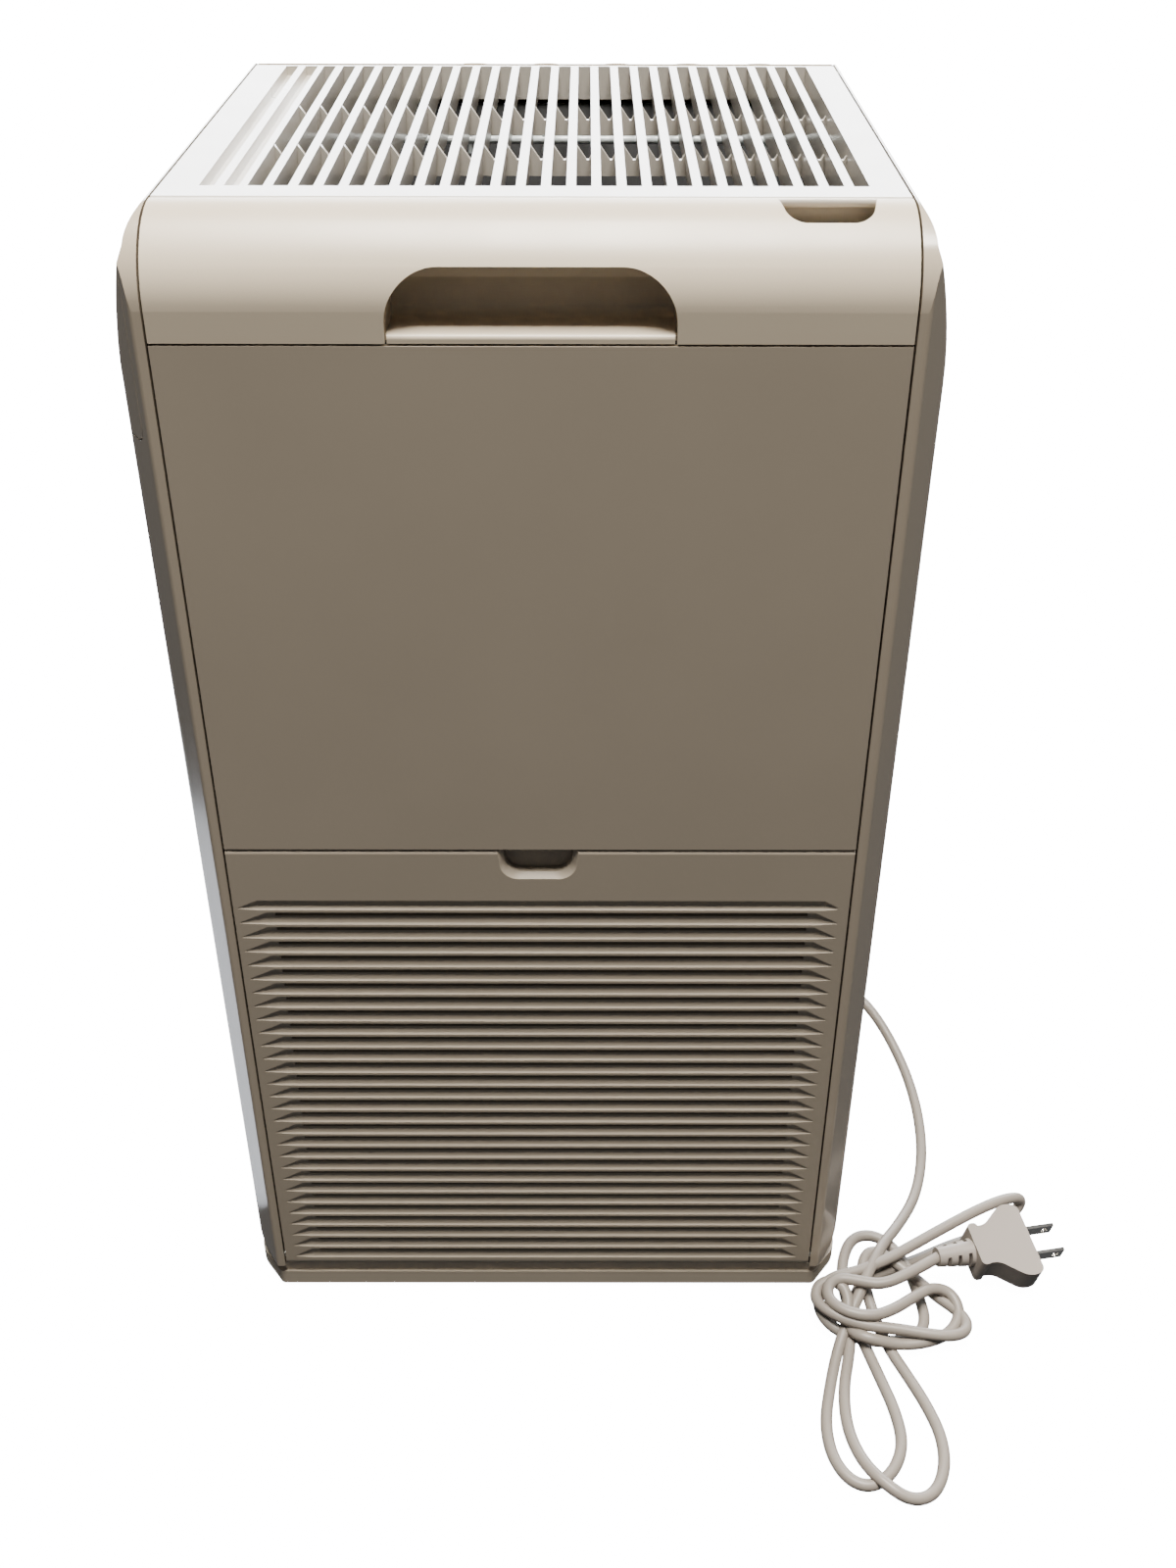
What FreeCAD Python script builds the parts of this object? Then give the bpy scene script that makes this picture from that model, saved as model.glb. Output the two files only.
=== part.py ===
import FreeCAD, Part

import os
from math import atan2, cos, degrees, pi, radians, sin, sqrt, tan

V = FreeCAD.Vector

# Driving dimensions in millimetres. +X is to the right of someone facing the rear of the
# cleaner, +Y points to its front, +Z is up, and the floor is z = 0.
HEIGHT = 487.0
HALF_WIDTH = 134.5
REAR = -135.0
FRONT = 135.0
BASE_TOP = 15.0
SHELL_BOTTOM = 15.6
WALL = 2.5
SEAM = 0.8
CORE = 119.6
SIDE_IN = CORE + SEAM
RIM_OUT = 124.0
PLAN_CHAMFER = 17.0
SHOULDER_Z = 422.0
SHOULDER_TOP = 478.0
SHOULDER_X = 125.0
TOP_EDGE_R = 4.0
LOWER_BEVEL_Z = 30.0
LOWER_BEVEL = 3.0
REAR_TOP_R = 27.2
FASCIA_Y = 100.0
FASCIA_SLOPE = 15.0
FRONT_TOP_R = 8.0

# Levels of the rear face.
INTAKE_TOP = 253.0
COVER_BOTTOM = 449.8

# Louvred intake panel.
INTAKE_DEPTH = 5.5
INTAKE_HINGE_R = 4.0
LOUVRES = 28
LOUVRE_PITCH = 7.24
LOUVRE_TOP = 224.7
LOUVRE_NOSE = 1.5
LOUVRE_RISE = 3.0
LOUVRE_DEPTH = 1.5
LOUVRE_BEVEL = 0.6
SLOT_HALF = 104.0
NOTCH_CENTRE = -0.8
NOTCH_TOP_HALF = 14.0
NOTCH_DEPTH = 11.3
NOTCH_R = 7.0
NOTCH_RIM = 1.9
BACKING_HALF = 17.0
BACKING_Y = -129.0

# Top grille.
GRILLE_REAR = -106.8
LIP_R = 1.6
GRILLE_HINGE_Y = 96.0
GRILLE_HINGE_R = 3.5
BLADES_REAR = -93.0
BLADES_FRONT = 94.5
SLOTS = 25
SLOT_PITCH = 8.1
SLOT_WIDTH = 4.96
SLOT_FIRST = -91.4
BLADE_DEPTH = 11.0
BLADE_TILT = 1.0
SKIRT_DEPTH = 12.8
WEB_YS = (-37.4, 23.0)
WEB_DIP = 5.2
BLIND_XS = (-106.9, -98.9)
BLIND_DEPTH = 3.6

# Hinge pins of both opening panels.
PIN_R = 1.5
PIN_CLEARANCE = 0.05
PIN_END = 123.0

# Handle pocket in the rear cover.
HANDLE_HALF = 45.6
HANDLE_TOP = 472.8
HANDLE_R = 17.0
HANDLE_FLOOR = 451.8
HANDLE_BACK = -113.0
HANDLE_RIB_Y = -121.0
HANDLE_RIB_Z = 466.5

# Finger notch between the rear cover and the top grille.
FINGER_X0 = 76.8
FINGER_X1 = 108.4
FINGER_REAR = -121.4

# Control fascia at the front of the top.
BUTTON_XS = (-30.0, 0.0, 30.0, 60.0, 90.0)
BUTTON_V = 14.0
BUTTON_R = 5.5
BUTTON_GAP = 0.3
WINDOW_X0 = -100.0
WINDOW_X1 = -52.0
PANEL_LOW = 469.0

# Filters behind the intake panel.
FILTER_HALF = 112.0
FILTER_Z0 = 29.0
FILTER_Z1 = 246.0
HEPA_HALF = 106.0
HEPA_Z0 = 35.0
HEPA_Z1 = 240.0
PLEATS = 34

# Base, feet and case screws.
BASE_LOW = 1.0
BASE_FLOOR = 4.0
FOOT_R = 9.0
FOOT_SPOTS = [(x, y) for x in (-105.0, 105.0) for y in (-108.0, 108.0)]
SCREW_SPOTS = [(x, y) for x in (-95.0, 95.0) for y in (-70.0, 0.0, 70.0)]

# Air path.
FAN_Z = 135.0
IMPELLER_R = 88.0
IMPELLER_Y0 = -60.0
IMPELLER_Y1 = 0.0
BLADE_COUNT = 36
SCROLL_Y0 = -72.0
SCROLL_Y1 = 8.0
SCROLL_TOP = 240.0
SHEET = 2.0
DUCT_TOP = 472.0
SCROLL_RADII = [(90, 92.0), (135, 94.5), (180, 98.0), (225, 101.5), (270, 105.0), (315, 109.0),
                (360, 113.0)]
SHAFT_R = 4.0
MOTOR_R = 42.0
MOTOR_Y0 = 11.0
MOTOR_Y1 = 50.0
MOTOR_SCREW_AT = 52.0
SCREW_TURNS = [radians(45 + 90 * i) for i in range(4)]

# Mains lead.
CORD_D = 5.2
GLAND_Y = 50.0
GLAND_Z = 35.0
GLAND_TURN = -35.0
GLAND_LENGTH = 22.0
CORD_ROUTE = [
    (153.5, 37.4, 35.0),
    (163.3, 30.5, 34.2),
    (171.5, 19.0, 30.5),
    (179.0, 4.5, 24.0),
    (185.0, -14.5, 17.5),
    (187.5, -37.0, 12.0),
    (185.5, -62.0, 8.8),
    (178.0, -87.0, 8.3),
    (166.0, -107.0, 10.5),
    (156.5, -120.0, 13.5),
]
PLUG_START = V(179.0, -132.5, 19.0)
PLUG_YAW = 14.0
PLUG_PITCH = 5.0
PLUG_ROLL = 12.0
PLUG_LENGTH = 46.0
PLUG_HALF = 19.0
BLADE_SPACING = 12.7
BLADE_LENGTH = 15.5


def box(x0, x1, y0, y1, z0, z1):
    return Part.makeBox(x1 - x0, y1 - y0, z1 - z0, V(x0, y0, z0))


def rod_x(y, z, r, x0, x1):
    return Part.makeCylinder(r, x1 - x0, V(x0, y, z), V(1, 0, 0))


def rod_y(x, z, r, y0, y1):
    return Part.makeCylinder(r, y1 - y0, V(x, y0, z), V(0, 1, 0))


def rod_z(x, y, r, z0, z1):
    return Part.makeCylinder(r, z1 - z0, V(x, y, z0), V(0, 0, 1))


def fuse(shapes):
    return shapes[0].multiFuse(shapes[1:]).removeSplitter()


def cut(shape, tools):
    return shape.cut(Part.makeCompound(tools))


def mirror_x(shape):
    return shape.mirror(V(0, 0, 0), V(1, 0, 0))


def corner(before, here, after, r):
    """Tangent points and middle of the arc that rounds one corner."""
    a = (before - here).normalize()
    b = (after - here).normalize()
    half = a.getAngle(b) / 2
    run = r / tan(half)
    middle = (a + b).normalize()
    return here + a * run, here + middle * (r / sin(half) - r), here + b * run


def wire(points, place):
    """Closed outline through (u, v, corner radius) points."""
    spots = [place(u, v) for u, v, _ in points]
    edges = []
    ends = []
    for i, (_, _, r) in enumerate(points):
        here = spots[i]
        if r > 0:
            start, middle, end = corner(spots[i - 1], here, spots[(i + 1) % len(spots)], r)
            edges.append(Part.Arc(start, middle, end).toShape())
            ends.append((start, end))
        else:
            ends.append((here, here))
    for i, (_, end) in enumerate(ends):
        start = ends[(i + 1) % len(ends)][0]
        if (start - end).Length > 1e-6:
            edges.append(Part.makeLine(end, start))
    return Part.Wire(Part.__sortEdges__(edges))


def slab_x(points, x0, x1):
    """Outline in (y, z) extruded along X."""
    return Part.Face(wire(points, lambda u, v: V(x0, u, v))).extrude(V(x1 - x0, 0, 0))


def slab_y(points, y0, y1):
    """Outline in (x, z) extruded along Y."""
    return Part.Face(wire(points, lambda u, v: V(u, y0, v))).extrude(V(0, y1 - y0, 0))


def slab_z(points, z0, z1):
    """Outline in (x, y) extruded along Z."""
    return Part.Face(wire(points, lambda u, v: V(u, v, z0))).extrude(V(0, 0, z1 - z0))


def rectangle(x0, x1, y0, y1, r):
    return [(x0, y0, r), (x1, y0, r), (x1, y1, r), (x0, y1, r)]


def profile(inset):
    """Side view of the shell, moved inwards by the inset."""
    slope = radians(FASCIA_SLOPE)
    ridge = FASCIA_Y - inset * tan(slope / 2)
    front = FRONT - inset
    top = HEIGHT - inset
    low = SHELL_BOTTOM + inset
    brow = top - (front - ridge) * tan(slope)
    return [
        (REAR + inset, low, 0),
        (REAR + inset, top, REAR_TOP_R - inset),
        (ridge, top, 0),
        (front, brow, FRONT_TOP_R - inset),
        (front, low, 0),
    ]


def plan(inset):
    """Half of the shell seen from above, right of the core."""
    out = HALF_WIDTH - inset
    rim = RIM_OUT - inset / 2
    return [
        (SIDE_IN - inset, REAR, 0),
        (rim, REAR, 1.6),
        (out, REAR + PLAN_CHAMFER, 12.0),
        (out, FRONT - PLAN_CHAMFER, 12.0),
        (rim, FRONT, 1.6),
        (SIDE_IN - inset, FRONT, 0),
    ]


def section(inset):
    """Rear view of the right wall: lower bevel, flat wall, shoulder arc and rim."""
    out = HALF_WIDTH - inset
    rim = SHOULDER_X - inset
    foot = V(out - LOWER_BEVEL, 0, SHELL_BOTTOM)
    bevel = V(out - LOWER_BEVEL / 4, 0, (SHELL_BOTTOM + LOWER_BEVEL_Z) / 2)
    wall_low = V(out, 0, LOWER_BEVEL_Z)
    wall_top = V(out, 0, SHOULDER_Z)
    bend = V(out - (HALF_WIDTH - SHOULDER_X) / 4, 0, (SHOULDER_Z + SHOULDER_TOP) / 2)
    neck = V(rim, 0, SHOULDER_TOP)
    edge_mid = V(rim - TOP_EDGE_R / 4, 0, (SHOULDER_TOP + HEIGHT) / 2)
    edge_top = V(rim - TOP_EDGE_R, 0, HEIGHT)
    inner_top = V(SIDE_IN - inset, 0, HEIGHT)
    inner_low = V(SIDE_IN - inset, 0, SHELL_BOTTOM)
    edges = [
        Part.makeLine(inner_low, foot),
        Part.Arc(foot, bevel, wall_low).toShape(),
        Part.makeLine(wall_low, wall_top),
        Part.Arc(wall_top, bend, neck).toShape(),
        Part.Arc(neck, edge_mid, edge_top).toShape(),
        Part.makeLine(edge_top, inner_top),
        Part.makeLine(inner_top, inner_low),
    ]
    face = Part.Face(Part.Wire(edges))
    face.translate(V(0, REAR - 1, 0))
    return face.extrude(V(0, FRONT - REAR + 2, 0))


def side_solid(inset):
    side = slab_x(profile(inset), SIDE_IN - inset, HALF_WIDTH)
    return side.common(slab_z(plan(inset), 0, HEIGHT + 1)).common(section(inset))


def pin_boss(y, z, size):
    boss = box(SIDE_IN, PIN_END + 0.6, y - size, y + size, z - size, z + size)
    return boss.common(side_solid(0))


def side_panel():
    panel = side_solid(0).cut(side_solid(WALL))
    intake_y, intake_z = intake_axis()
    grille_y, grille_z = grille_axis()
    panel = fuse([panel, pin_boss(intake_y, intake_z, 5.0), pin_boss(grille_y, grille_z, 5.0)])
    bore = PIN_R + PIN_CLEARANCE
    return cut(panel, [
        rod_x(intake_y, intake_z, bore, SIDE_IN - 1, PIN_END + 0.3),
        rod_x(grille_y, grille_z, bore, SIDE_IN - 1, PIN_END + 0.3),
    ])


def sensor_outline(grow):
    return rectangle(-130.5 - grow, -56.0 + grow, 414.5 - grow, 471.0 + grow, 5.0 + grow)


def sensor_window(grow):
    return slab_x(sensor_outline(grow), -HALF_WIDTH - 1, -SIDE_IN)


def sensor_cover():
    cover = mirror_x(side_solid(0).cut(side_solid(WALL))).common(sensor_window(-0.25))
    slots = [box(-HALF_WIDTH - 1, -SIDE_IN, y, y + 2.0, 436.0, 452.0) for y in range(-104, -76, 6)]
    return cut(cover, slots)


def left_side_panel():
    return mirror_x(side_panel()).cut(sensor_window(0.25))


def right_side_panel():
    return side_panel().cut(rod_x(GLAND_Y, GLAND_Z, 5.0, SIDE_IN, HALF_WIDTH + 1))


def skin(y0, y1, z0, z1):
    """Piece of the shell's outer wall over the width of the core."""
    ribbon = slab_x(profile(0), -CORE, CORE).cut(slab_x(profile(WALL), -CORE, CORE))
    return ribbon.common(box(-CORE, CORE, y0, y1, z0, z1))


def handle_outline(grow):
    half = HANDLE_HALF + grow
    return [
        (-half, COVER_BOTTOM - 1, 0),
        (-half, HANDLE_TOP + grow, HANDLE_R + grow),
        (half, HANDLE_TOP + grow, HANDLE_R + grow),
        (half, COVER_BOTTOM - 1, 0),
    ]


def finger_outline(grow):
    return [
        (FINGER_X0 - grow, GRILLE_REAR, 0),
        (FINGER_X0 + 3 - grow, FINGER_REAR - grow, 7.0),
        (FINGER_X1 - 3 + grow, FINGER_REAR - grow, 7.0),
        (FINGER_X1 + grow, GRILLE_REAR, 0),
    ]


def rear_top_cover():
    cover = skin(REAR - 1, GRILLE_REAR - SEAM, COVER_BOTTOM, HEIGHT + 1)
    scoop = slab_z(finger_outline(2.0), 473.0, HEIGHT).common(slab_x(profile(WALL / 2), 0, CORE))
    scoop = scoop.common(box(0, CORE, REAR, GRILLE_REAR - SEAM, 0, HEIGHT))
    return cut(fuse([cover, scoop]), [
        slab_z(finger_outline(0), 475.0, HEIGHT + 1),
        slab_y(handle_outline(0), REAR - 1, REAR + 20),
    ])


def handle_pocket():
    shell = slab_y(handle_outline(2.0), REAR, -103.0).common(slab_x(profile(WALL), -60, 60))
    shell = shell.common(box(-60, 60, REAR, 0, COVER_BOTTOM + 0.4, HEIGHT))
    hollow = slab_x([
        (REAR - 1, HANDLE_FLOOR, 0),
        (HANDLE_BACK, HANDLE_FLOOR, 4.0),
        (HANDLE_BACK + 3, HANDLE_RIB_Z + 0.5, 0),
        (HANDLE_RIB_Y, HANDLE_RIB_Z, 0),
        (HANDLE_RIB_Y, HEIGHT, 0),
        (REAR - 1, HEIGHT, 0),
    ], -60, 60)
    return shell.cut(hollow.common(slab_y(handle_outline(0), REAR - 1, -104.0)))


def handle_grip():
    half = HANDLE_HALF - 0.6
    bar = slab_x([
        (REAR + 0.3, COVER_BOTTOM, 0),
        (REAR + 0.3, COVER_BOTTOM + 2.8, 1.5),
        (REAR + 9.0, COVER_BOTTOM + 2.8, 0.4),
        (REAR + 9.0, HANDLE_FLOOR, 0),
        (REAR + WALL, HANDLE_FLOOR, 0),
        (REAR + WALL, COVER_BOTTOM, 0),
    ], -half, half)
    return bar.cut(handle_pocket())


def rear_panel():
    panel = skin(REAR - 1, REAR + WALL, INTAKE_TOP + SEAM, COVER_BOTTOM - SEAM)
    ribs = [box(x, x + 2, REAR + WALL, REAR + 6, INTAKE_TOP + 12, COVER_BOTTOM - 12)
            for x in (-81, -41, 39, 79)]
    shelf = box(NOTCH_CENTRE - BACKING_HALF, NOTCH_CENTRE + BACKING_HALF, REAR + WALL - 1,
                BACKING_Y + 1.2, INTAKE_TOP + 1, INTAKE_TOP + 2.6)
    tongue = box(NOTCH_CENTRE - BACKING_HALF, NOTCH_CENTRE + BACKING_HALF, BACKING_Y,
                 BACKING_Y + 1.2, INTAKE_TOP - 16, INTAKE_TOP + 2.6)
    return fuse([panel, shelf, tongue] + ribs)


def intake_axis():
    return REAR + INTAKE_HINGE_R, SHELL_BOTTOM + 0.2 + INTAKE_HINGE_R


def grille_axis():
    return GRILLE_HINGE_Y, HEIGHT - GRILLE_HINGE_R


def groove_wire(x, nose_low, slope_top, slope_low, depth):
    """Cross-section of one groove, from the nose above it to the bevelled nose below it."""
    floor = REAR + depth
    bevel = min(LOUVRE_BEVEL, depth / 2)
    return Part.makePolygon([
        V(x, REAR - 1, nose_low),
        V(x, floor, nose_low),
        V(x, floor, slope_top),
        V(x, REAR + bevel, slope_low + bevel / 2),
        V(x, REAR, slope_low - bevel / 2),
        V(x, REAR - 1, slope_low - bevel / 2),
        V(x, REAR - 1, nose_low),
    ])


def louvre_groove(row):
    """Groove under one ridge: open in the middle, ramping out to blind tips at both ends."""
    low = LOUVRE_TOP - (row + 1) * LOUVRE_PITCH
    nose_low = low + LOUVRE_PITCH - LOUVRE_NOSE
    rise = low + LOUVRE_RISE
    share = row / (LOUVRES - 1)
    left_tip = -117.5 + 2.7 * share
    right_tip = 115.6 - 2.0 * share
    tip = [low + 0.9, low + 0.6, low + 0.3, 0.15]
    full = [nose_low, rise, low, LOUVRE_DEPTH]
    wires = [
        groove_wire(left_tip, *tip),
        groove_wire(-SLOT_HALF - 3, *full),
        groove_wire(SLOT_HALF + 3, *full),
        groove_wire(right_tip, *tip),
    ]
    groove = Part.makeLoft(wires, True, True)
    slot = box(-SLOT_HALF, SLOT_HALF, REAR + LOUVRE_DEPTH - 0.1, REAR + INTAKE_DEPTH + 1,
               rise, nose_low)
    return [groove, slot]


def lead_in_groove():
    """Shallow blind groove above the first ridge."""
    low = LOUVRE_TOP
    wires = [
        groove_wire(-117.5, low + 0.9, low + 0.6, low + 0.3, 0.15),
        groove_wire(-SLOT_HALF - 6, low + 4.4, low + 1.6, low, 1.4),
        groove_wire(SLOT_HALF + 6, low + 4.4, low + 1.6, low, 1.4),
        groove_wire(115.6, low + 0.9, low + 0.6, low + 0.3, 0.15),
    ]
    return Part.makeLoft(wires, True, True)


def notch_outline(grow):
    return [
        (NOTCH_CENTRE - NOTCH_TOP_HALF - grow, INTAKE_TOP + 3, 0),
        (NOTCH_CENTRE - NOTCH_TOP_HALF + 2 - grow, INTAKE_TOP - NOTCH_DEPTH - grow, NOTCH_R),
        (NOTCH_CENTRE + NOTCH_TOP_HALF - 2 + grow, INTAKE_TOP - NOTCH_DEPTH - grow, NOTCH_R),
        (NOTCH_CENTRE + NOTCH_TOP_HALF + grow, INTAKE_TOP + 3, 0),
    ]


def notch_cut():
    """Notch with a bevelled rim that faces up and out."""
    outer = wire(notch_outline(NOTCH_RIM), lambda u, v: V(u, REAR - 0.01, v))
    inner = wire(notch_outline(0), lambda u, v: V(u, REAR + NOTCH_RIM + 0.3, v))
    return [Part.makeLoft([outer, inner], True, True),
            slab_y(notch_outline(0), REAR - 1, REAR + INTAKE_DEPTH + 1)]


def intake_grille():
    axis_y, axis_z = intake_axis()
    back = REAR + INTAKE_DEPTH
    plate = slab_x([
        (REAR, axis_z, 0),
        (back, axis_z, 0),
        (back, INTAKE_TOP, 0),
        (REAR, INTAKE_TOP, 1.6),
    ], -CORE, CORE)
    barrel = rod_x(axis_y, axis_z, INTAKE_HINGE_R, -CORE, CORE)
    tools = [piece for row in range(LOUVRES) for piece in louvre_groove(row)]
    tools.append(lead_in_groove())
    tools += notch_cut()
    tools.append(rod_x(axis_y, axis_z, PIN_R, -CORE - 1, -PIN_END + 10))
    tools.append(rod_x(axis_y, axis_z, PIN_R, PIN_END - 10, CORE + 1))
    panel = cut(plate.fuse(barrel), tools)
    low = LOUVRE_TOP - LOUVRES * LOUVRE_PITCH
    ribs = [box(x - 1, x + 1, back - 1.6, back, low, LOUVRE_TOP) for x in range(-78, 79, 26)]
    return fuse([panel] + ribs)


def hinge_pins(axis):
    y, z = axis
    right = rod_x(y, z, PIN_R, PIN_END - 10, PIN_END)
    return Part.makeCompound([right, mirror_x(right)])


def grille_blade(index):
    """One slanted blade to the right of a slot."""
    left = SLOT_FIRST + index * SLOT_PITCH + SLOT_WIDTH
    width = SLOT_PITCH - SLOT_WIDTH
    shift = BLADE_DEPTH * tan(radians(BLADE_TILT))
    low = HEIGHT - BLADE_DEPTH
    return slab_y([
        (left, HEIGHT, 0),
        (left + width, HEIGHT, 0),
        (left + shift + 0.75 * width, low, 0),
        (left + shift + 0.25 * width, low, 0),
    ], BLADES_REAR - 1, BLADES_FRONT + 1)


def leaning_slot(x0, x1, low):
    """Opening through the top face whose sides lean like the blades."""
    high = HEIGHT + 1
    shift = (high - low) * tan(radians(BLADE_TILT))
    return slab_y([(x0, high, 0), (x1, high, 0), (x1 + shift, low, 0), (x0 + shift, low, 0)],
                  BLADES_REAR, BLADES_FRONT)


def grille_web(y):
    """Cross web whose top edge dips in a lopsided V in each slot."""
    right = SLOT_FIRST + (SLOTS - 1) * SLOT_PITCH + SLOT_WIDTH
    low = HEIGHT - BLADE_DEPTH + 0.4
    dip = HEIGHT - WEB_DIP
    points = [(SLOT_FIRST - 1, low, 0), (SLOT_FIRST - 1, HEIGHT - 0.4, 0)]
    for index in range(SLOTS):
        left = SLOT_FIRST + index * SLOT_PITCH
        points += [
            (left, HEIGHT - 0.4, 0),
            (left + 3.4, dip, 0),
            (left + 4.2, dip, 0),
            (left + SLOT_WIDTH + 0.7, HEIGHT - WEB_DIP / 2, 0),
            (left + SLOT_WIDTH + 0.8, HEIGHT - 0.4, 0),
        ]
    points += [(right + 1, HEIGHT - 0.4, 0), (right + 1, low, 0)]
    return slab_y(points, y - 1.0, y + 1.0)


def top_grille():
    axis_y, axis_z = grille_axis()
    right = SLOT_FIRST + (SLOTS - 1) * SLOT_PITCH + SLOT_WIDTH
    roll = LIP_R
    plate = box(-CORE, CORE, GRILLE_REAR + roll, axis_y, HEIGHT - WALL, HEIGHT)
    lip = rod_x(GRILLE_REAR + roll, HEIGHT - roll, roll, -CORE, CORE)
    barrel = rod_x(axis_y, axis_z, GRILLE_HINGE_R, -CORE, CORE)
    skirt = box(SLOT_FIRST - 2, right + 6, BLADES_REAR - 2, BLADES_FRONT + 1.5,
                HEIGHT - SKIRT_DEPTH, HEIGHT)
    block = box(BLIND_XS[0] - 3, SLOT_FIRST, BLADES_REAR - 2, BLADES_FRONT + 1.5,
                HEIGHT - BLIND_DEPTH - 1.6, HEIGHT)
    window = leaning_slot(SLOT_FIRST, right, HEIGHT - 2 * SKIRT_DEPTH)
    body = cut(fuse([plate, lip, barrel, skirt, block]), [window])
    blades = [grille_blade(index) for index in range(SLOTS - 1)]
    webs = [grille_web(y) for y in WEB_YS]
    body = fuse([body] + blades + webs)
    grooves = [leaning_slot(x, x + SLOT_WIDTH, HEIGHT - BLIND_DEPTH) for x in BLIND_XS]
    bores = [rod_x(axis_y, axis_z, PIN_R, -CORE - 1, -PIN_END + 10),
             rod_x(axis_y, axis_z, PIN_R, PIN_END - 10, CORE + 1)]
    return cut(body, grooves + bores)


def on_fascia(shape):
    """Moves a shape drawn on the XY plane onto the sloping control fascia."""
    moved = shape.copy()
    moved.rotate(V(0, 0, 0), V(1, 0, 0), -FASCIA_SLOPE)
    moved.translate(V(0, FASCIA_Y, HEIGHT))
    return moved


def control_panel():
    panel = skin(GRILLE_HINGE_Y + GRILLE_HINGE_R + SEAM, FRONT + 1, PANEL_LOW, HEIGHT + 1)
    holes = [on_fascia(rod_z(x, BUTTON_V, BUTTON_R + BUTTON_GAP, -5, 5)) for x in BUTTON_XS]
    holes.append(on_fascia(slab_z(rectangle(WINDOW_X0, WINDOW_X1, 8, 20, 3), -5, 5)))
    return cut(panel, holes)


def indicator_window():
    return on_fascia(slab_z(rectangle(WINDOW_X0 + 0.1, WINDOW_X1 - 0.1, 8.1, 19.9, 2.9), -2.2, 0))


def button(x):
    cap = rod_z(x, BUTTON_V, BUTTON_R, -3.4, 0.9)
    flange = rod_z(x, BUTTON_V, BUTTON_R + 1.5, -4.4, -2.9)
    stem = rod_z(x, BUTTON_V, 2.0, -5.2, -4.0)
    return on_fascia(fuse([cap, flange, stem]))


def control_board():
    board = box(-105, 105, 3.5, 24.5, -9.6, -8.0)
    switches = [box(x - 3, x + 3, BUTTON_V - 3, BUTTON_V + 3, -8.2, -6.4) for x in BUTTON_XS]
    display = box(WINDOW_X0 + 3, WINDOW_X1 - 3, 9, 19, -8.2, -4.0)
    return on_fascia(fuse([board, display] + switches))


def front_panel():
    panel = skin(FRONT - WALL, FRONT + 1, SHELL_BOTTOM + 0.2, PANEL_LOW - SEAM)
    ribs = [box(x, x + 2, FRONT - 6, FRONT - WALL, 40, 440) for x in (-81, -41, 39, 79)]
    return fuse([panel] + ribs)


def chassis_plate():
    plate = slab_x([
        (-126.0, 26.0, 6.0),
        (-126.0, 446.0, 20.0),
        (-96.0, 474.0, 10.0),
        (98.0, 474.0, 6.0),
        (130.0, 462.0, 6.0),
        (130.0, 26.0, 6.0),
    ], CORE - 2.0, SIDE_IN)
    foot = box(CORE - 2.0, SIDE_IN, -108.0, 108.0, 4.0, 40.0)
    ledge = [rod_x(y, z, 18.0, CORE - 3, SIDE_IN + 1) for y in (66, 106) for z in (260, 330, 400)]
    return cut(fuse([plate, foot]), ledge)


def chassis_left():
    return mirror_x(chassis_plate()).cut(rod_x(-111, 447, 8.0, -SIDE_IN - 1, -CORE + 3))


def dust_sensor():
    case = box(-117.4, -104.0, -124.0, -98.0, 432.0, 462.0)
    return case.cut(rod_x(-111, 447, 4.0, -118, -108))


def filter_housing():
    outer = box(-116.0, 116.0, -127.5, -76.0, 25.0, 250.0)
    inner = box(-114.0, 114.0, -128.0, -79.0, 27.0, 248.0)
    return cut(outer, [inner, rod_y(0, FAN_Z, 76.0, -80, -75)])


def prefilter():
    frame = box(-FILTER_HALF, FILTER_HALF, -126.0, -122.0, FILTER_Z0, FILTER_Z1)
    window = box(-104.0, 104.0, -127, -121, 37.0, 238.0)
    mesh = box(-105.0, 105.0, -124.3, -123.7, 36.0, 239.0)
    across = [box(-105, 105, -125, -123, z - 1, z + 1) for z in (87, 137, 187)]
    upright = [box(x - 1, x + 1, -125, -123, 36, 239) for x in (-52, 0, 52)]
    return fuse([frame.cut(window), mesh] + across + upright)


def carbon_filter():
    slab = box(-FILTER_HALF, FILTER_HALF, -120.5, -110.0, FILTER_Z0, FILTER_Z1)
    recess = [box(-106, 106, -121, -119.5, 35, 240), box(-106, 106, -111, -109.5, 35, 240)]
    return cut(slab, recess)


def hepa_frame():
    outer = box(-FILTER_HALF, FILTER_HALF, -108.5, -82.0, FILTER_Z0, FILTER_Z1)
    return outer.cut(box(-HEPA_HALF, HEPA_HALF, -109, -81, HEPA_Z0, HEPA_Z1))


def hepa_pleats():
    """Folded sheet, a zigzag seen from above."""
    step = HEPA_HALF / PLEATS
    ys = (-106.5, -85.0)
    near = [(-HEPA_HALF + step * i, ys[i % 2], 0) for i in range(2 * PLEATS + 1)]
    far = [(x, y + 1.5, 0) for x, y, _ in reversed(near)]
    return slab_z(near + far, HEPA_Z0, HEPA_Z1)


def inlet_ring():
    """Bellmouth between the filter housing and the impeller's eye."""
    ring = [V(0, -76.0, 84.0), V(0, -73.8, 84.0), V(0, -73.8, 74.5), V(0, -61.2, 70.0),
            V(0, -61.2, 68.0), V(0, -76.0, 73.0), V(0, -76.0, 84.0)]
    face = Part.Face(Part.makePolygon(ring))
    solid = face.revolve(V(0, 0, 0), V(0, 1, 0), 360)
    solid.translate(V(0, 0, FAN_Z))
    return solid


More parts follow.
